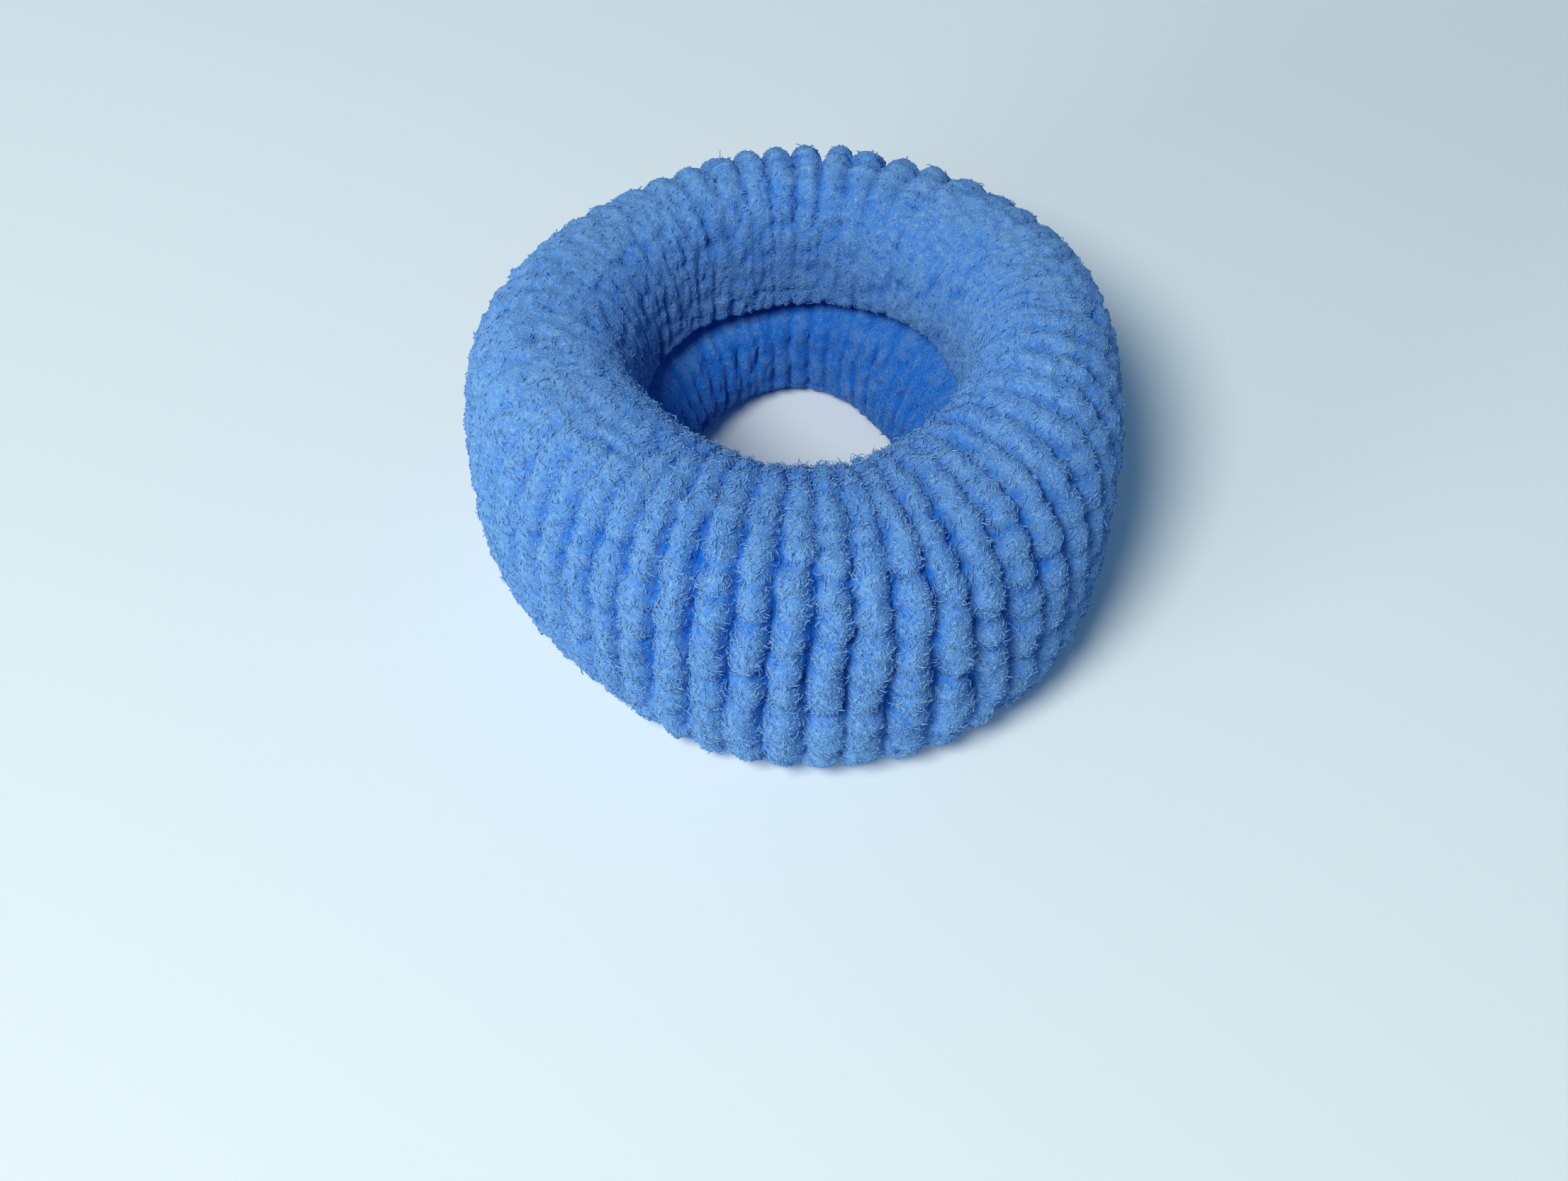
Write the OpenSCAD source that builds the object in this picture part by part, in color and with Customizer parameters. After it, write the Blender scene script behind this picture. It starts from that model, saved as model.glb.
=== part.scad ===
// Elastic hair tie: a thick tube of ribbed terry knit, rolled and joined into a soft ring.
// It lies flat by itself. Sizes are millimetres and +Z is up. The origin is on the surface
// that the ring rests on, under the middle of its outline.

/* [Ring] */
// Outer diameter over the ribs
ring_d = 50; // [46:0.5:60]
// Diameter of the hole at the lip of the upper roll
hole_d = 24; // [20:0.5:27]
// Height of the ring as it lies
ring_h = 24; // [21:0.5:28]

/* [Section of the tube] */
// Fullness of the half that faces out: 2 is an ellipse, and more is squarer
outer_full = 2.5; // [1.8:0.1:3]
// Fullness of the half that faces the hole
inner_full = 3; // [1.8:0.1:3.4]
// Height of the crease in the hole, where the two rolls meet
crease_z = 10.5; // [9:0.5:12]
// Depth of the crease
crease_depth = 1.8; // [0:0.1:2.2]
// Width of the crease
crease_w = 1.8; // [1:0.2:3]
// How far the lower roll reaches into the hole past the upper roll
lower_reach = 1.6; // [0.4:0.1:2.5]
// Thickness of the knit with its loops, from the crests of the ribs
wall = 2.6; // [2:0.1:3]
// Height that is pressed flat underneath, where the ring rests
pressed = 0.8; // [0.4:0.1:1.2]

/* [Ribs] */
// Number of knitted ribs round the ring
rib_count = 52; // [40:2:60]
// Depth of the valleys between the ribs on the side that faces out
rib_depth = 1; // [0.4:0.1:1.2]
// Depth of the valleys in the hole
rib_depth_in = 0.3; // [0:0.05:0.5]

/* [Hidden] */

// The ring is soft and a little uneven. A row for each eighth of a turn, from +X round by +Y,
// gives what is added there to the outer radius, the hole's radius, the height, the lower
// roll's reach and the crease's height.
OUT = 0;
HOLE = 1;
HIGH = 2;
REACH = 3;
CREASE = 4;
STATIONS = [
    [-0.5, 0.4, 2.0, 1.4, 2.5],
    [1.0, 0.8, -2.0, 2.0, 2.0],
    [-1.2, 1.8, -1.5, -0.4, -0.5],
    [-1.1, 0.9, -2.0, 1.6, 0],
    [0.4, 0.2, -0.5, 1.2, 0],
    [-0.7, -1.0, 1.0, -0.2, 0],
    [1.0, -1.4, 0.5, -0.4, 0],
    [1.4, -1.8, 0.5, 0, 1.0],
];

columns_per_rib = 4;
columns = rib_count * columns_per_rib;
section_points = 24;
// Share by which the section's points are drawn closer on its two tall sides
side_share = 0.4;
// Share of the crease's height over which the lower roll swells to its full reach
roll_share = 0.7;
// Height over which the ribs rise from where they are pressed flat
press_fade = 2;
hollow_points = 12;
hollow_full = 2.2;
least_hollow = 0.5;

// Value of one column of the table, with rows counted round and round
function row(i, column) = STATIONS[(i + len(STATIONS)) % len(STATIONS)][column];

// A smooth closed curve through one column, at a share of a turn
function uneven(turn, column) =
    let (
        place = turn * len(STATIONS),
        i = floor(place),
        f = place - i,
        before = row(i - 1, column),
        here = row(i, column),
        next = row(i + 1, column),
        after = row(i + 2, column)
    )
    here
        + f * (next - before) / 2
        + f * f * (before - 2.5 * here + 2 * next - after / 2)
        + f * f * f * (1.5 * (here - next) + (after - before) / 2);

// Sizes of the section at a share of a turn, in the order of the table's columns
function sizes(turn) =
    [ring_d / 2, hole_d / 2, ring_h, lower_reach, crease_z]
        + [for (column = [OUT : CREASE]) uneven(turn, column)];

// How deep the knit lies below the rib's crest, from 1 in the valley to 0 on the crest
function valley(rib_share) = 1 - pow(abs(sin(180 * rib_share)), 0.7);

// How far out a rounded square of such fullness reaches at an angle. An ellipse has 2.
function squared(angle, full) = pow(pow(abs(cos(angle)), full) + pow(abs(sin(angle)), full), -1 / full);

// A point of the knit's skin as [radius, height]. Angle 0 faces out, 90 up, 180 the hole.
function skin_point(angle, size, dip) =
    let (
        c = cos(angle),
        k = squared(angle, c > 0 ? outer_full : inner_full),
        half_w = (size[OUT] - size[HOLE]) / 2,
        half_h = (size[HIGH] + pressed) / 2,
        across = k * c,
        up = k * sin(angle),
        inward = max(-across, 0),
        z = half_h * (1 + up) - pressed,
        below = (size[CREASE] - z) / (roll_share * size[CREASE]),
        lower = sin(90 * min(max(below, 0), 1)),
        crease = exp(-pow((z - size[CREASE]) / crease_w * 2, 2)),
        slope = [across / half_w, up / half_h],
        free = min(max(z / press_fade, 0), 1),
        relief = free * dip * (rib_depth_in + (rib_depth - rib_depth_in) * (1 + c) / 2),
        sunk = relief * slope / norm(slope)
    )
    [
        (size[OUT] + size[HOLE]) / 2 + half_w * across
            + inward * (crease_depth * crease - size[REACH] * lower) - sunk.x,
        max(z - sunk.y, 0)
    ];

// A point of the hollow inside the tube, as [radius, height]
function hollow_point(angle, size) =
    let (
        k = squared(angle, hollow_full),
        outer = size[OUT] - wall,
        inner = size[HOLE] + crease_depth + wall,
        half_w = max((outer - inner) / 2, least_hollow)
    )
    [
        (outer + inner) / 2 + half_w * k * cos(angle),
        size[HIGH] / 2 + (size[HIGH] / 2 - wall) * k * sin(angle)
    ];

// Angle of the i-th point of the skin's section
function skin_angle(i) =
    let (even = 360 * i / section_points)
    even - side_share * sin(2 * even) * 180 / PI / 2;

// A point of a section, turned to its place round the ring
function placed(p, turn) = [p.x * cos(360 * turn), p.x * sin(360 * turn), p.y];

skin_rings = [
    for (i = [0 : columns - 1])
        let (turn = i / columns, size = sizes(turn), dip = valley(i / columns_per_rib))
        [for (j = [0 : section_points - 1]) placed(skin_point(skin_angle(j), size, dip), turn)]
];

hollow_rings = [
    for (i = [0 : rib_count - 1])
        let (turn = i / rib_count, size = sizes(turn))
        [for (j = [0 : hollow_points - 1]) placed(hollow_point(360 * j / hollow_points, size), turn)]
];

xs = [for (ring = skin_rings, p = ring) p.x];
ys = [for (ring = skin_rings, p = ring) p.y];
middle = [(max(xs) + min(xs)) / 2, (max(ys) + min(ys)) / 2, 0];

// A closed tube round the ring, through rings of equally many points
module tube(rings) {
    count = len(rings);
    per_ring = len(rings[0]);
    faces = [
        for (i = [0 : count - 1], j = [0 : per_ring - 1])
            let (
                here = i * per_ring,
                next = (i + 1) % count * per_ring,
                above = (j + 1) % per_ring
            )
            each [[here + j, here + above, next + above], [here + j, next + above, next + j]]
    ];
    polyhedron([for (ring = rings) each ring], faces, convexity = 6);
}

module terry_ring() {
    color("#5590d8")
        translate(-middle)
            difference() {
                tube(skin_rings);
                tube(hollow_rings);
            }
}

terry_ring();
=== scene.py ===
import math

import bpy
import numpy as np
from mathutils import Matrix, Vector


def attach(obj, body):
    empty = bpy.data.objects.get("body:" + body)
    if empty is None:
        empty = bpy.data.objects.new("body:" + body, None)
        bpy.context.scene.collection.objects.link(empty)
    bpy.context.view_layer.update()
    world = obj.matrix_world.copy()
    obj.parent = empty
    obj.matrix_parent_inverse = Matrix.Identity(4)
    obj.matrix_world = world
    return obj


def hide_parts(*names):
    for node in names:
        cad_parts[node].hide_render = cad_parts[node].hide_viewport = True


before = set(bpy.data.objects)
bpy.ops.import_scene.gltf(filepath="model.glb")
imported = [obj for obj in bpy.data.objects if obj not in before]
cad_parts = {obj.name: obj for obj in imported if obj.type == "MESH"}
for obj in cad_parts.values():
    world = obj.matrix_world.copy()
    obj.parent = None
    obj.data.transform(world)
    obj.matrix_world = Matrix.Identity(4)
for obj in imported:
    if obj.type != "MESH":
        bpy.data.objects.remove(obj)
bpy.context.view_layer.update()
bpy.ops.object.select_all(action="DESELECT")

# The knitted cover.
# One tube of ribbed terry knit, rolled on itself and joined into a soft ring. Its ribs run over
# the tube, deep on the outside and matted together on the way into the hole.

# Lengths are in millimetres, and a mesh is written in metres
MM = 0.001
RING_R = 25.0
HOLE_R = 12.0
RING_H = 24.0
# What the ring's own weight presses off its underside
PRESSED = 0.8
# How full the tube's section is, outside and in the hole: 2 makes an ellipse, and more is squarer
OUTER_FULL = 2.5
INNER_FULL = 3.0
# In the hole the upper roll meets the lower roll at a crease
CREASE_Z = 10.5
CREASE_DEPTH = 2.1
CREASE_W = 1.8
# The lower roll reaches further in, and furthest at this share of the crease's height below it
LOWER_REACH = 1.6
ROLL_SHARE = 0.7

# A row for each eighth of a turn, from +X round by +Y: what is added to the outer radius, the
# hole's radius, the height, the lower roll's reach and the crease's height, then how open the
# ribs are there and how far the fibres stand singly instead of matted soft
OUT, HOLE, HIGH, REACH, CREASE, OPEN, SINGLE = range(7)
STATIONS = np.array([
    [-0.5, 0.4, 2.0, 1.4, 2.5, 0.6, 0.4],
    [1.0, 0.8, -2.0, 2.0, 2.0, 0.5, 0.12],
    [-1.2, 1.8, -1.5, -0.4, -0.5, 1.0, 0.2],
    [-1.1, 0.9, -2.0, 1.6, 0.0, 0.35, 0.1],
    [0.4, 0.2, -0.5, 1.2, 0.0, 0.2, 0.25],
    [-0.7, -1.0, 1.0, -0.2, 0.0, 0.65, 0.7],
    [1.0, -1.4, 0.5, -0.4, 0.0, 1.0, 1.0],
    [1.4, -1.8, 0.5, 0.0, 1.0, 0.85, 0.8],
])


def uneven(turn, column):
    """A smooth closed curve through one column of the table, at shares of a turn."""
    rows = STATIONS[:, column]
    place = turn % 1.0 * len(rows)
    i = np.floor(place).astype(int)
    f = place - i
    before, here, following, after = (rows[(i + k) % len(rows)] for k in (-1, 0, 1, 2))
    return (
        here
        + f * (following - before) / 2
        + f**2 * (before - 2.5 * here + 2 * following - after / 2)
        + f**3 * (1.5 * (here - following) + (after - before) / 2)
    )


def crease_share(turn, z):
    """How far into the crease in the hole a height lies, 1 at its bottom."""
    return np.exp(-(((z - CREASE_Z - uneven(turn, CREASE)) / CREASE_W * 2) ** 2))


def tube_section(turn, angle):
    """Radius and height of the smooth tube, and its outward direction as (radial, up) parts."""
    c, s = np.cos(angle), np.sin(angle)
    full = np.where(c > 0, OUTER_FULL, INNER_FULL)
    k = (np.abs(c) ** full + np.abs(s) ** full) ** (-1 / full)
    r_out = RING_R + uneven(turn, OUT)
    r_hole = HOLE_R + uneven(turn, HOLE)
    half_w = (r_out - r_hole) / 2
    half_h = (RING_H + uneven(turn, HIGH) + PRESSED) / 2
    across, up = k * c, k * s
    inward = np.maximum(-across, 0)
    z = half_h * (1 + up) - PRESSED
    crease_z = CREASE_Z + uneven(turn, CREASE)
    lower = np.sin(math.pi / 2 * np.clip((crease_z - z) / (ROLL_SHARE * crease_z), 0, 1))
    reach = LOWER_REACH + uneven(turn, REACH)
    drawn_out = CREASE_DEPTH * crease_share(turn, z)
    r = (r_out + r_hole) / 2 + half_w * across + inward * (drawn_out - reach * lower)
    slope = np.stack([across / half_w, up / half_h])
    return r, z, slope / np.linalg.norm(slope, axis=0)


def knit_cells(turn, angle, across, along):
    """A point's place in a grid laid round the ring and round the tube, and which cell that is."""
    u = turn % 1.0 * across
    v = angle / math.tau % 1.0 * along
    return u, v, np.floor(u).astype(int), np.floor(v).astype(int)


def knit_noise(turn, angle, across, along, seed):
    """Smooth noise from -1 to 1 with so many cells round the ring and round the tube."""
    grid = np.random.default_rng(seed).uniform(-1, 1, (across, along))
    u, v, i, j = knit_cells(turn, angle, across, along)
    f, g = u - i, v - j
    f, g = f * f * (3 - 2 * f), g * g * (3 - 2 * g)
    i, j, i2, j2 = i % across, j % along, (i + 1) % across, (j + 1) % along
    here = (1 - f) * grid[i, j] + f * grid[i2, j]
    following = (1 - f) * grid[i, j2] + f * grid[i2, j2]
    return (1 - g) * here + g * following


def between(low, high, share):
    """A value that goes from low to high as the share goes from 0 to 1."""
    return low + (high - low) * share


RIBS = 52
# The share of a rib's width at which its crest lies
CREST_PLACE = 0.5
# Shares of a rib by which each rib wanders alone and the knit is drawn aside over several ribs
RIB_WANDER = 0.1
KNIT_WANDER = 0.22


def rib_place(turn, angle):
    """A point's rib and share of its width. A crest lies on +X, but for how the ribs wander."""
    alone = RIB_WANDER * knit_noise(turn, angle, across=RIBS, along=20, seed=11)
    together = KNIT_WANDER * knit_noise(turn, angle, across=13, along=5, seed=12)
    wander = alone + together
    return turn * RIBS + CREST_PLACE + wander


def off_table(angle, start, reach):
    """0 on the ring's underside, rising to 1 on its side."""
    return np.clip((np.sin(angle) + start) / reach, 0, 1)


# The ribs stand furthest apart this far up from the tube's outermost line, in radians
WIDEST_ANGLE = 0.3
# The curve through the table's openness is kept between these
LEAST_OPEN, MOST_OPEN = 0.2, 1.05
# How fast the ribs close up on the way into the hole
CLOSE_UP = 1.6
# What stays of the openness in the hole and under the ring, and what the lower roll's own ribs have
OPEN_IN_HOLE = 0.1
OPEN_UNDERNEATH = 0.35
OPEN_LOWER_ROLL = 0.22


def openness(turn, angle):
    """How far the ribs stand apart: most outside, less on top, near the table and in the hole."""
    outward = 0.5 + 0.5 * np.cos(angle - WIDEST_ANGLE)
    most = np.clip(uneven(turn, OPEN), LEAST_OPEN, MOST_OPEN)
    over_tube = between(OPEN_IN_HOLE, 1, outward ** (CLOSE_UP / most))
    up_side = between(OPEN_UNDERNEATH, 1, off_table(angle, 1.0, 0.8))
    lower_roll = np.clip(-np.cos(angle), 0, 1) * np.clip(0.3 - 2 * np.sin(angle), 0, 1)
    return most * over_tube * up_side + OPEN_LOWER_ROLL * lower_roll


# The fibres stand most singly this far up from the outermost line, in radians
SINGLE_ANGLE = 1.2


def single(turn, angle):
    """How far the fibres stand singly, less near the table and in the hole."""
    out_of_hole = np.clip(1.3 + np.cos(angle - SINGLE_ANGLE), 0, 1)
    return np.clip(uneven(turn, SINGLE), 0, 1) * (out_of_hole * off_table(angle, 1.2, 0.9))


# A rib is a row of stacked lumps, so many round the tube. A lump reaches into the next ones, and
# is off its place by up to these shares of a rib's width and of a lump's length.
TUBE_LUMPS = 28
LUMP_REACH = 0.84
LUMP_ASIDE = 0.07
LUMP_ALONG = 0.3
LUMP_HALF_W = (0.45, 0.52)


def rib_valley(turn, angle):
    """1 in the valley between two ribs and 0 on the top of each lump of a rib's crest."""
    rng = np.random.default_rng(14)
    centre = CREST_PLACE + rng.uniform(-LUMP_ASIDE, LUMP_ASIDE, (RIBS, TUBE_LUMPS))
    height = rng.uniform(-LUMP_ALONG, LUMP_ALONG, (RIBS, TUBE_LUMPS))
    half_w = rng.uniform(*LUMP_HALF_W, (RIBS, TUBE_LUMPS))
    first = rng.uniform(0, 1, RIBS)
    u = rib_place(turn, angle) % RIBS
    i = np.floor(u).astype(int)
    dome = np.zeros(np.shape(u))
    for di in (-1, 0, 1):
        rib = (i + di) % RIBS
        v = angle / math.tau % 1.0 * TUBE_LUMPS + first[rib]
        j = np.floor(v).astype(int)
        for dj in (-1, 0, 1):
            lump = (j + dj) % TUBE_LUMPS
            du = (i + di + centre[rib, lump] - u) / half_w[rib, lump]
            dv = (j + dj + 0.5 + height[rib, lump] - v) / LUMP_REACH
            dome = np.maximum(dome, 1 - du**2 - dv**2)
    return 1 - np.sqrt(dome)


# A tuft's place and size in its cell, and how far it spreads
TUFT_PLACE = (0.2, 0.8)
TUFT_SIZE = (0.75, 1.15)
TUFT_SPREAD = 0.72


def knit_tufts(turn, angle, across, along, seed):
    """Rounded tufts, one to a cell and each off its place: 1 on a tuft's top and 0 between them."""
    rng = np.random.default_rng(seed)
    place = rng.uniform(*TUFT_PLACE, (across, along, 2))
    size = rng.uniform(*TUFT_SIZE, (across, along))
    u, v, i, j = knit_cells(turn, angle, across, along)
    best = np.zeros(np.shape(u))
    for di in (-1, 0, 1):
        for dj in (-1, 0, 1):
            ci, cj = (i + di) % across, (j + dj) % along
            du = (i + di + place[ci, cj, 0] - u) / size[ci, cj]
            dv = (j + dj + place[ci, cj, 1] - v) / size[ci, cj]
            best = np.maximum(best, 1 - (du**2 + dv**2) / TUFT_SPREAD)
    return np.sqrt(np.maximum(best, 0))


BROAD_SHARE = 0.6


def knit_clumps(turn, angle):
    """Height of the clumps that the pile mats into, as a share of the highest."""
    broad = knit_tufts(turn, angle, across=RIBS + 14, along=34, seed=15)
    small = knit_tufts(turn, angle, across=2 * RIBS + 12, along=60, seed=17)
    return BROAD_SHARE * broad + (1 - BROAD_SHARE) * small


RIB_DEPTH = 1.95
# Clumps are lower on open ribs by this share, and stand partly above and partly below the tube
CLUMP_HEIGHT = 1.25
CLUMP_LOSS = 0.7
CLUMP_LEVEL = 0.6
# The knit is slowly uneven too, and lies a little below the solid's surface
SWAY_HEIGHT = 0.25
CREST_LIFT = -0.15


def knit_relief(turn, angle):
    """How far the knit's surface stands above the smooth tube. It is negative in the valleys."""
    apart = openness(turn, angle)
    ribs = -RIB_DEPTH * apart * rib_valley(turn, angle)
    clumps = CLUMP_HEIGHT * (1 - CLUMP_LOSS * apart) * (knit_clumps(turn, angle) - CLUMP_LEVEL)
    sway = SWAY_HEIGHT * knit_noise(turn, angle, across=17, along=9, seed=16)
    return ribs + clumps + sway + CREST_LIFT


def facing_hole(angle):
    """1 on the side of the tube that faces the hole, and 0 over its top and outside."""
    return np.clip(-2 * np.cos(angle), 0, 1)


# Painted shade in the hole begins this far above the crease and deepens over this height
HOLE_SHADE_FROM = 1.0
HOLE_SHADE_OVER = 3.0


def painted_hole_shade(turn, angle):
    """From 0 above the crease in the hole to 1 on the lower roll, where the painted shade is
    deepest.
    """
    _, z, _ = tube_section(turn, angle)
    start = CREASE_Z + uneven(turn, CREASE) + HOLE_SHADE_FROM
    return np.clip((start - z) / HOLE_SHADE_OVER, 0, 1) * facing_hole(angle)


# How pale the yarn is painted on a crest, and the painted shade that a clump's edge, a valley, the
# lower roll, the upper roll's side of the hole and the crease take off it
CREST_PALE = 1.3
CLUMP_SHADE = 0.9
VALLEY_SHADE = 1.3
HOLE_SHADE = 0.85
INNER_SHADE = 0.35
CREASE_SHADE = 0.3


def painted_shade_tone(turn, angle):
    """How pale the yarn is painted there: 1 on the ribs' crests, less with painted shade between
    clumps and ribs and in the hole.
    """
    _, z, _ = tube_section(turn, angle)
    # Painted shade: the lower roll, the upper roll's side of the hole, the crease, the valleys and
    # the clumps' edges are made darker
    hole_shading = painted_hole_shade(turn, angle)
    inner_shading = INNER_SHADE * (1 - hole_shading) + CREASE_SHADE * crease_share(turn, z)
    valley = VALLEY_SHADE * openness(turn, angle) * rib_valley(turn, angle)
    painted_shade = valley + HOLE_SHADE * hole_shading + inner_shading * facing_hole(angle)
    return np.clip(CREST_PALE - CLUMP_SHADE * (1 - knit_clumps(turn, angle)) - painted_shade, 0, 1)


# The relief fades out over this height above the table
PRESS_FADE = 2.0


def knit_surface(turn, angle):
    """Points of the knit's surface, as an array of x, y, z."""
    r, z, out = tube_section(turn, angle)
    height = knit_relief(turn, angle) * np.clip(z / PRESS_FADE, 0, 1)
    r = r + out[0] * height
    z = np.maximum(z + out[1] * height, 0)
    return np.stack([r * np.cos(math.tau * turn), r * np.sin(math.tau * turn), z], axis=-1)


COLUMNS_PER_RIB = 9
SECTION_POINTS = 156
TUBE_MIDDLE_R = (RING_R + HOLE_R) / 2
# A torus may have 256 segments at most, so it starts half as fine and is subdivided once
bpy.ops.mesh.primitive_torus_add(
    major_radius=TUBE_MIDDLE_R * MM,
    minor_radius=(RING_R - HOLE_R) / 2 * MM,
    major_segments=RIBS * COLUMNS_PER_RIB // 2,
    minor_segments=SECTION_POINTS // 2,
)
cover = bpy.context.object
cover.name = cover.data.name = "terry_cover"
bpy.ops.object.mode_set(mode="EDIT")
bpy.ops.mesh.select_all(action="SELECT")
bpy.ops.mesh.subdivide(number_cuts=1)
bpy.ops.object.mode_set(mode="OBJECT")
bpy.ops.object.shade_smooth()

# The torus gives each point its place round the ring and round the tube, and the knit its shape.
# The points lie closer together outside and in the hole than over the top.
CLOSER_AT_SIDES = 0.4
torus = np.empty((len(cover.data.vertices), 3))
cover.data.vertices.foreach_get("co", torus.ravel())
torus_x, torus_y, torus_z = torus.T
cover_turn = np.arctan2(torus_y, torus_x) / math.tau
cover_angle = np.arctan2(torus_z, np.hypot(torus_x, torus_y) - TUBE_MIDDLE_R * MM)
cover_angle = cover_angle - CLOSER_AT_SIDES * np.sin(2 * cover_angle) / 2
cover_points = knit_surface(cover_turn, cover_angle)
# The ring's outline is centred over the origin, as the frame's is
middle = np.append((cover_points.max(axis=0) + cover_points.min(axis=0))[:2] / 2, 0)
cover.data.vertices.foreach_set("co", ((cover_points - middle) * MM).ravel())

# Matted fibres look a little paler than single ones, except down in the hole
MATTED_PALE = 0.1
matted = 1 - single(cover_turn, cover_angle)
paler = MATTED_PALE * matted * (1 - painted_hole_shade(cover_turn, cover_angle))
# The cover's tone holds painted shade and highlight: pale on the crests, darker between clumps and
# ribs, on the hole's side, in the crease and in the hole; the crest attribute carries it to the
# shader
cover_tone = painted_shade_tone(cover_turn, cover_angle) + paler
crest = cover.data.attributes.new("crest", "FLOAT", "POINT")
crest.data.foreach_set("value", cover_tone.astype(np.float32))
cover.data.update()


class Wire:
    """A shader socket that takes part in Python's sums and products."""

    def __init__(self, tree, socket):
        self.tree, self.socket = tree, socket

    def node(self, kind, values, settings=None, out=0):
        """Adds a node with its settings, then links or sets its inputs, and gives one output."""
        n = self.tree.nodes.new(kind)
        for key, value in (settings or {}).items():
            setattr(n, key, value)
        for key, value in values.items():
            if isinstance(value, Wire):
                self.tree.links.new(value.socket, n.inputs[key])
            else:
                n.inputs[key].default_value = value
        return Wire(self.tree, n.outputs[out])

    def sum(self, operation, a, b):
        return self.node("ShaderNodeMath", {0: a, 1: b}, {"operation": operation})

    def math(self, operation, other=0.0):
        return self.sum(operation, self, other)

    def __add__(self, other):
        return self.sum("ADD", self, other)

    def __radd__(self, other):
        return self.sum("ADD", other, self)

    def __sub__(self, other):
        return self.sum("SUBTRACT", self, other)

    def __rsub__(self, other):
        return self.sum("SUBTRACT", other, self)

    def __mul__(self, other):
        return self.sum("MULTIPLY", self, other)

    def __rmul__(self, other):
        return self.sum("MULTIPLY", other, self)

    def colour(self, low, high):
        """A colour between two others, by this value. A Mix node's colours are at 6, 7 and 2."""
        values = {"Factor": self, 6: low, 7: high}
        return self.node("ShaderNodeMix", values, {"data_type": "RGBA"}, out=2)


# The yarn is dyed one blue. The two blues span its painted shade, deeper between the ribs, in the
# crease and in the hole, and its painted highlight, paler on the loops' tops. It has hardly a gloss
# but the soft sheen of fine fibres.
DEEP_BLUE = (0.002, 0.155, 0.66, 1.0)
PALE_BLUE = (0.27, 0.5, 0.67, 1.0)
YARN_GLOSS = 0.1
YARN_SHEEN = 0.5
SHEEN_ROUGH = 0.5
SHEEN_BLUE = (0.3, 0.6, 1.0, 1.0)


def yarn_material(name, roughness):
    """A material for the yarn, its Principled shader and a wire with Object coordinates."""
    material = bpy.data.materials.new(name)
    material.use_nodes = True
    tree = material.node_tree
    shader = tree.nodes["Principled BSDF"]
    shader.inputs["Roughness"].default_value = roughness
    shader.inputs["Specular IOR Level"].default_value = YARN_GLOSS
    shader.inputs["Sheen Weight"].default_value = YARN_SHEEN
    shader.inputs["Sheen Roughness"].default_value = SHEEN_ROUGH
    shader.inputs["Sheen Tint"].default_value = SHEEN_BLUE
    place = Wire(tree, None).node("ShaderNodeTexCoord", {}, out="Object")
    return material, shader, place


def noise(place, cells, detail):
    """Noise from about 0 to 1 on Object coordinates, with so many cells to a metre."""
    values = {"Vector": place, "Scale": cells, "Detail": detail}
    return place.node("ShaderNodeTexNoise", values, out="Fac")


COVER_ROUGH = 0.95
# Cells to a metre of the speckle, of the slow drift in tone, and of the two layers of fibres
SPECKLE_CELLS = 900.0
DRIFT_CELLS = 120.0
FIBRE_CELLS = (2100.0, 2900.0)
# How many times thinner the lines are than the noise they are drawn from
LINE_FINENESS = 16.0
# What is taken off the sum of the patterns, so that it spans the two blues
TONE_LEVEL = 0.46
# The loops' height in the bump, in millimetres
LOOP_HEIGHT = 0.15
LOOP_STRENGTH = 0.8


def curly_lines(place, cells):
    """Thin curling lines like matted fibres, 1 along each line and 0 off it."""
    off_line = (noise(place, cells, 1.5) - 0.5).math("ABSOLUTE") * LINE_FINENESS
    return (1.0 - off_line).math("MAXIMUM", 0.0)


def cover_material():
    """Looped knit: painted shade makes it deep blue between the ribs, with fine uneven loops in the
    bump.
    """
    material, shader, place = yarn_material("terry_knit", COVER_ROUGH)
    painted_shade_value = place.node("ShaderNodeAttribute", {}, {"attribute_name": "crest"}, out="Fac")
    speckle = noise(place, SPECKLE_CELLS, 2.0)
    drift = noise(place, DRIFT_CELLS, 1.0)
    coarse, fine = (curly_lines(place, cells) for cells in FIBRE_CELLS)
    fibres = coarse.math("MAXIMUM", fine)
    # Fibre lines are painted paler where the painted shade is least
    fibre_pale = painted_shade_value * 0.25 + 0.12
    tone = painted_shade_value * 0.4 + speckle * 0.5 + drift * 0.2 + fibres * fibre_pale - TONE_LEVEL
    place.tree.links.new(tone.colour(DEEP_BLUE, PALE_BLUE).socket, shader.inputs["Base Color"])
    height = fibres * 0.5 + speckle * 0.8
    loops = {"Height": height, "Distance": LOOP_HEIGHT * MM, "Strength": LOOP_STRENGTH}
    bump = place.node("ShaderNodeBump", loops)
    place.tree.links.new(bump.socket, shader.inputs["Normal"])
    return material


cover.data.materials.clear()
cover.data.materials.append(cover_material())
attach(cover, "root")
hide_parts("terry_ring")

# The pile.
# Fine crimped fibres of the same yarn, held by the knit at the foot: most curl over, longest on the
# open ribs, others are short, and a few stand out. Each is a closed thread, pointed at both ends.

# Columns: how many in a quarter of the ring, points along one, least and greatest length, radius
PILE_KINDS = {
    "curls": (12500, 4, 0.6, 1.1, 0.046),
    "fuzz": (9000, 3, 0.5, 0.8, 0.046),
    "strays": (40, 6, 1.4, 2.6, 0.03),
}
# The share of a turn at each quarter's middle
PILE_QUARTERS = {"right": 0.0, "back": 0.25, "left": 0.5, "front": 0.75}
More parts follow.
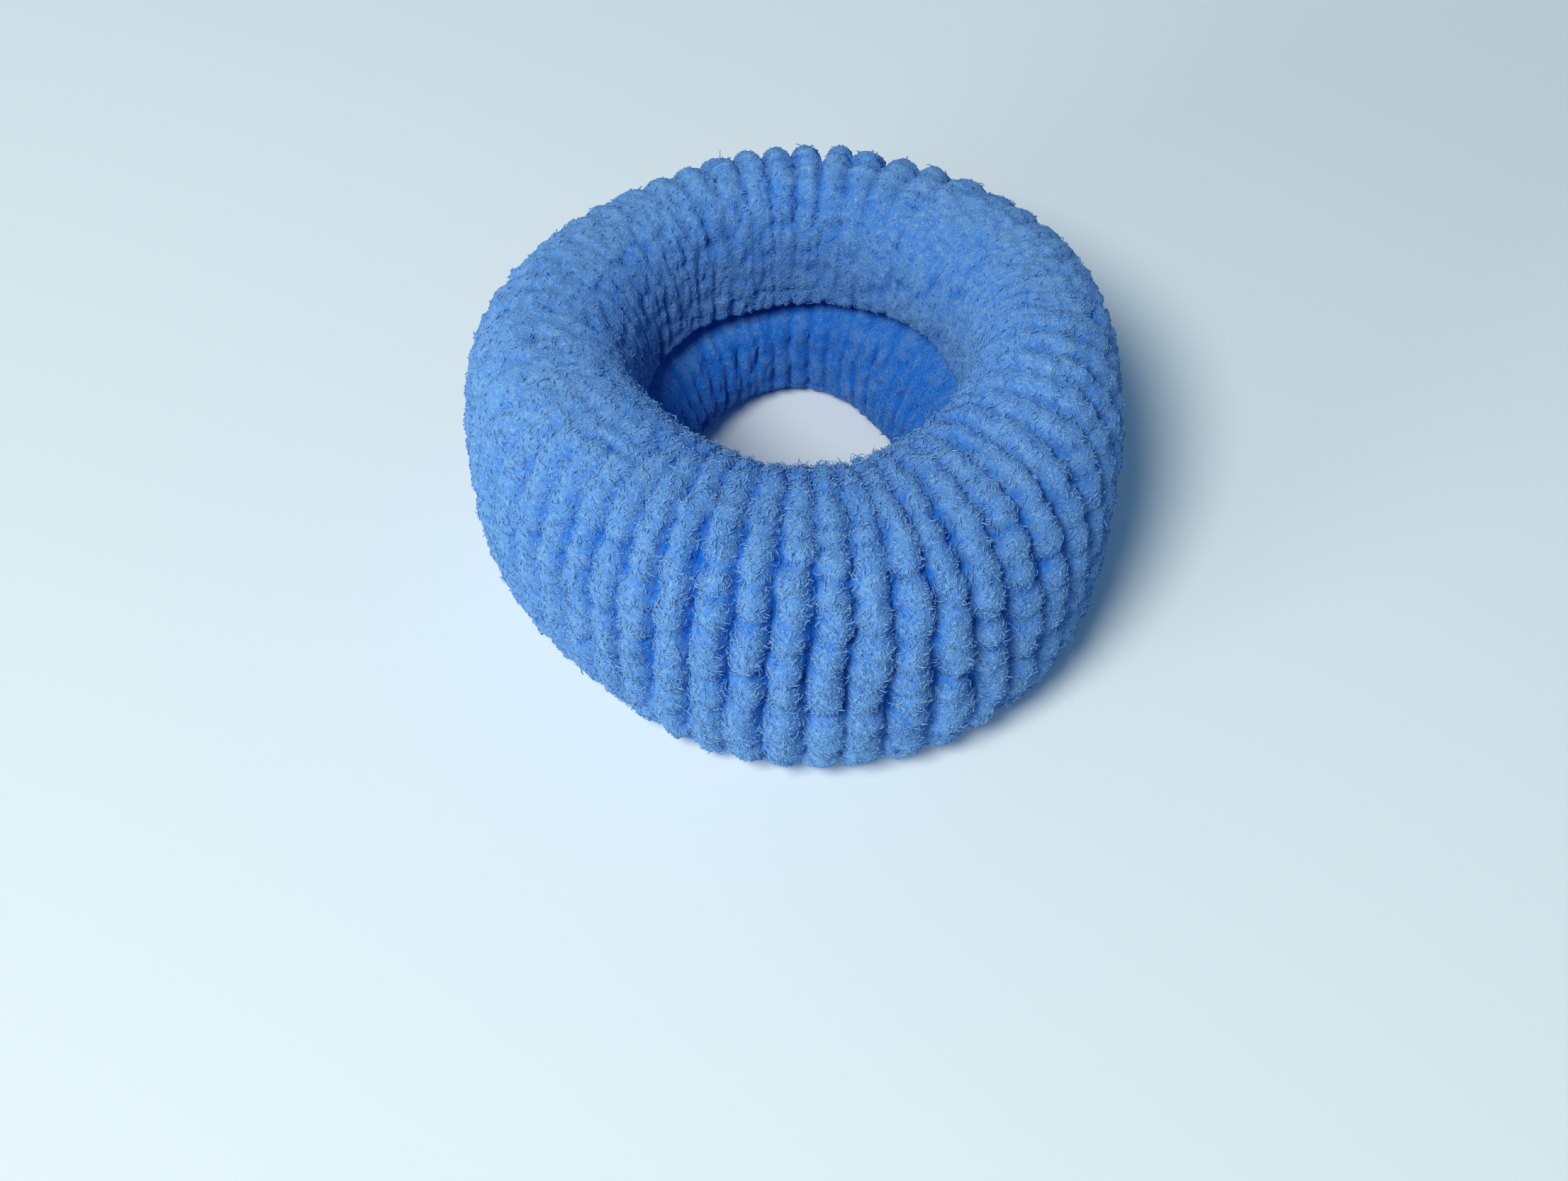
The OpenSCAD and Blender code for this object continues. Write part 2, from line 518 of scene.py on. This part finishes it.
# A spiral that winds by these shares of the quarter's length and the tube's girth tries places
# evenly, so many for each fibre, and each a little off it in turns and in radians
SPIRAL = (0.7548776662, 0.5698402910)
TRIES = 8
TURN_JITTER = 0.0004
ANGLE_JITTER = 0.01
# Fewer fibres stand in the valleys, on the underside and low in the hole, and none lower still
VALLEY_BARE = 0.72
MOST_BARE = 0.9
UNDERSIDE_PILE = 0.3
LOW_HOLE_PILE = 0.7
LOW_HOLE_Z = 9.0
PILE_FOOT_Z = 0.8
# A few more places are kept than are needed, so that the last fibre has one too
SPARE = 1.02


def pile_roots(rng, count, middle_turn):
    """Places for so many fibres in one quarter of the ring, even by the area they stand on."""
    n = np.arange(TRIES * count)
    turn = middle_turn + (n * SPIRAL[0] % 1.0 - 0.5) / 4 + rng.normal(0, TURN_JITTER, len(n))
    angle = n * SPIRAL[1] % 1.0 * math.tau + rng.normal(0, ANGLE_JITTER, len(n))
    r, z, out = tube_section(turn, angle)
    step = 0.01
    r2, z2, _ = tube_section(turn, angle + step)
    area = r * np.hypot(r2 - r, z2 - z) / step / (RING_R * RING_H)
    valley = openness(turn, angle) * rib_valley(turn, angle)
    bare = np.clip(VALLEY_BARE * valley, 0, MOST_BARE)
    in_hole = np.where((out[0] < 0) & (z < LOW_HOLE_Z), LOW_HOLE_PILE, 1.0)
    hidden = np.where(out[1] < -0.5, UNDERSIDE_PILE, in_hole)
    chance = area * (1 - bare) * hidden * (z > PILE_FOOT_Z)
    scale = count / chance.sum()
    keep = np.flatnonzero(rng.uniform(0, 1, len(n)) < scale * chance * SPARE)[:count]
    return turn[keep], angle[keep]


def unit(vectors):
    """The same directions, each one long."""
    return vectors / np.linalg.norm(vectors, axis=-1, keepdims=True)


# How far a fibre's foot is in the knit
FOOT_DEPTH = 0.12
# How far a fibre leans at its foot and curls by its tip, in radians, and how it crimps aside
LEAN = (0.4, 1.2)
MATTED_LEAN = 0.5
CURL = (0.6, 2.6)
CRIMP = 0.35
# On the ribs the fibres are drawn over the valleys
VALLEY_PULL = 1.2


def crimped_fibres(rng, turn, angle, steps, length):
    """Centre lines of fibres at those places, as an array of fibre, point and x, y, z."""
    step_turn, step_angle = 0.0006, 0.012
    root = knit_surface(turn, angle)
    round_ring = knit_surface(turn + step_turn, angle) - knit_surface(turn - step_turn, angle)
    round_tube = knit_surface(turn, angle + step_angle) - knit_surface(turn, angle - step_angle)
    out = unit(np.cross(round_ring, round_tube))
    over = np.sin(math.tau * (rib_place(turn, angle) - CREST_PLACE)) * openness(turn, angle)
    any_side = unit(np.cross(out, rng.normal(size=out.shape)))
    side = unit(any_side + VALLEY_PULL * over[:, None] * unit(round_ring))
    third = np.cross(out, side)
    lean = rng.uniform(*LEAN, len(turn)) + MATTED_LEAN * (1 - single(turn, angle))
    curl = rng.uniform(*CURL, len(turn))
    points = [root - FOOT_DEPTH * out]
    for k in range(steps - 1):
        phi = (lean + curl * k / (steps - 2))[:, None]
        crimp = rng.normal(0, CRIMP, len(turn))[:, None]
        ahead = unit(np.cos(phi) * out + np.sin(phi) * side + crimp * third)
        points.append(points[-1] + (length / (steps - 1))[:, None] * ahead)
    return np.stack(points, axis=1)


FIBRE_SIDES = 3
# How far above the table the lowest fibre stays
TABLE_GAP = 0.02


def spun_fibres(name, points, radius, tones):
    """One closed mesh of thin threads along those centre lines, pointed at both ends."""
    count, steps, _ = points.shape
    rings = steps - 2
    along = unit(points[:, 2:] - points[:, :-2])
    across = unit(np.cross(along, unit(along[:, ::-1, [1, 2, 0]])))
    other = np.cross(along, across)
    corner = (np.arange(FIBRE_SIDES) * math.tau / FIBRE_SIDES)[:, None]
    round_yarn = across[:, :, None] * np.cos(corner) + other[:, :, None] * np.sin(corner)
    tube = points[:, 1:-1, None] + radius[:, None, None, None] * round_yarn
    verts = np.concatenate([points[:, :1], tube.reshape(count, -1, 3), points[:, -1:]], axis=1)
    verts[..., 2] = np.maximum(verts[..., 2], TABLE_GAP)
    per_fibre = verts.shape[1]
    last = 1 + (rings - 1) * FIBRE_SIDES
    faces = []
    for k in range(FIBRE_SIDES):
        nxt = (k + 1) % FIBRE_SIDES
        faces.append([0, 1 + nxt, 1 + k])
        faces.append([per_fibre - 1, last + k, last + nxt])
        for j in range(rings - 1):
            a, b = 1 + j * FIBRE_SIDES, 1 + (j + 1) * FIBRE_SIDES
            faces += [[a + k, a + nxt, b + nxt], [a + k, b + nxt, b + k]]
    faces = np.array(faces)[None] + per_fibre * np.arange(count)[:, None, None]
    faces = faces.reshape(-1, 3)
    ring_tones = np.repeat(tones[:, 1:-1], FIBRE_SIDES, axis=1)
    tones = np.concatenate([tones[:, :1], ring_tones, tones[:, -1:]], axis=1)
    mesh = bpy.data.meshes.new(name)
    mesh.vertices.add(count * per_fibre)
    mesh.vertices.foreach_set("co", ((verts.reshape(-1, 3) - middle) * MM).ravel())
    mesh.loops.add(faces.size)
    mesh.loops.foreach_set("vertex_index", faces.ravel())
    mesh.polygons.add(len(faces))
    mesh.polygons.foreach_set("loop_start", np.arange(0, faces.size, 3))
    mesh.polygons.foreach_set("use_smooth", np.ones(len(faces), bool))
    mesh.update(calc_edges=True)
    tone = mesh.attributes.new("tone", "FLOAT", "POINT")
    tone.data.foreach_set("value", tones.ravel().astype(np.float32))
    piece = bpy.data.objects.new(name, mesh)
    bpy.context.collection.objects.link(piece)
    return piece


PILE_ROUGH = 0.8


def pile_material():
    """Fibres of the same dyed yarn, with painted shade at the foot and a painted highlight to the
    tip, each its own tone.
    """
    material, shader, place = yarn_material("terry_pile", PILE_ROUGH)
    tone = place.node("ShaderNodeAttribute", {}, {"attribute_name": "tone"}, out="Fac")
    place.tree.links.new(tone.colour(DEEP_BLUE, PALE_BLUE).socket, shader.inputs["Base Color"])
    return material


pile_yarn = pile_material()
# Matted fibres are shorter and thicker than single ones by these shares, and more alike in tone
MATTED_LENGTH = 0.65
MATTED_THICKER = 0.15
MATTED_CONTRAST = 0.3
# A fibre's painted glint is drawn round a middle one. Its tip's tone, a painted highlight, is made
# up of a base, of the glint and of how singly it stands, and under the painted shade of a valley
# this share of that is left.
MIDDLE_GLINT = 0.4
GLINT_SHAPE = (1.5, 2.5)
TIP_BASE, TIP_GLINT, TIP_CRISP = 0.07, 0.65, 0.63
VALLEY_TIP = 0.2
# A foot is painted in shade, as pale as this share of its tip, and that much less on a single fibre
FOOT_TONE, FOOT_EXTRA_SHADE = 0.85, 0.4
FIRST_SEED = 21
for seed, (quarter, middle_turn) in enumerate(PILE_QUARTERS.items(), start=FIRST_SEED):
    for kind, (count, steps, shortest, longest, radius) in PILE_KINDS.items():
        rng = np.random.default_rng(seed + count)
        turn, angle = pile_roots(rng, count, middle_turn)
        crisp = single(turn, angle)
        length = between(MATTED_LENGTH, 1, crisp) * rng.uniform(shortest, longest, len(turn))
        fibres = crimped_fibres(rng, turn, angle, steps, length)
        contrast = between(MATTED_CONTRAST, 1, crisp)
        glint = MIDDLE_GLINT + (rng.beta(*GLINT_SHAPE, len(turn)) - MIDDLE_GLINT) * contrast
        tip = TIP_BASE + TIP_GLINT * glint + TIP_CRISP * crisp
        # The tip's painted highlight fades under the cover's painted shade
        tip = between(VALLEY_TIP, 1, painted_shade_tone(turn, angle)) * tip
        foot = tip * (FOOT_TONE - FOOT_EXTRA_SHADE * crisp)
        tones = between(foot[:, None], tip[:, None], np.linspace(0, 1, steps))
        thickness = radius * (1 + MATTED_THICKER - MATTED_THICKER * crisp)
        pile = spun_fibres(f"{kind}_{quarter}", fibres, thickness, tones)
        pile.data.materials.append(pile_yarn)
        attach(pile, "root")
        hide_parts("terry_ring")

# The floor, the light and the camera.
# A plain pale table top, a soft window from the left, and the view that the ring is seen from.
TABLE_SIZE = 4.0
TABLE_PALE = (0.79, 0.88, 0.885, 1.0)
TABLE_ROUGH = 0.6
TABLE_GLOSS = 0.2
bpy.ops.mesh.primitive_plane_add(size=TABLE_SIZE, location=(0, 0, 0))
floor = bpy.context.object
floor.name = "floor"
floor_material = bpy.data.materials.new("pale_table")
floor_material.use_nodes = True
floor_shader = floor_material.node_tree.nodes["Principled BSDF"]
floor_shader.inputs["Base Color"].default_value = TABLE_PALE
floor_shader.inputs["Roughness"].default_value = TABLE_ROUGH
floor_shader.inputs["Specular IOR Level"].default_value = TABLE_GLOSS
floor.data.materials.append(floor_material)

ROOM_BLUE = (0.3, 0.6, 1.0, 1.0)
ROOM_STRENGTH = 0.28
world = bpy.data.worlds.new("room")
bpy.context.scene.world = world
world.use_nodes = True
background = world.node_tree.nodes["Background"]
background.inputs["Color"].default_value = ROOM_BLUE
background.inputs["Strength"].default_value = ROOM_STRENGTH
bpy.context.scene.view_settings.view_transform = "Standard"

LIGHT_DISTANCE = 0.6
DAYLIGHT = (1.0, 0.96, 0.89)
# Columns: degrees round from +X, degrees up from the floor, watts and width
LIGHTS = {
    "window_light": (240, 56, 3.0, 0.2),
    "low_window_light": (222, 12, 1.4, 0.25),
}
for name, (around, up, watts, width) in LIGHTS.items():
    azimuth, rise = math.radians(around), math.radians(up)
    level = math.cos(rise)
    towards = Vector((level * math.cos(azimuth), level * math.sin(azimuth), math.sin(rise)))
    bpy.ops.object.light_add(type="AREA", location=LIGHT_DISTANCE * towards)
    lamp = bpy.context.object
    lamp.name = name
    lamp.data.shape = "DISK"
    lamp.data.size = width
    lamp.data.energy = watts
    lamp.data.color = DAYLIGHT
    lamp.rotation_euler = towards.to_track_quat("Z", "Y").to_euler()

# The view: how far down it looks and how it rolls in degrees, and its place along its own axes
LENS_MM = 58.6
SENSOR_MM = 36.0
LOOKS_DOWN = 53.0
ROLL = -1.8
VIEW_RIGHT, VIEW_UP, VIEW_BACK = -1.05 * MM, -12.3 * MM, -196.6 * MM
down, roll = math.radians(LOOKS_DOWN), math.radians(ROLL)
ahead = Vector((0, math.cos(down), -math.sin(down)))
level_up = Vector((1, 0, 0)).cross(ahead)
right = math.cos(roll) * Vector((1, 0, 0)) - math.sin(roll) * level_up
view_up = math.sin(roll) * Vector((1, 0, 0)) + math.cos(roll) * level_up
ring_centre = Vector((-middle[0], -middle[1], RING_H / 2)) * MM
bpy.ops.object.camera_add()
camera = bpy.context.object
camera.data.lens = LENS_MM
camera.data.sensor_width = SENSOR_MM
camera.data.clip_start = 0.01
camera.matrix_world = Matrix.Translation(
    ring_centre + VIEW_RIGHT * right + VIEW_UP * view_up + VIEW_BACK * ahead
) @ Matrix((right, view_up, -ahead)).transposed().to_4x4()
bpy.context.scene.camera = camera
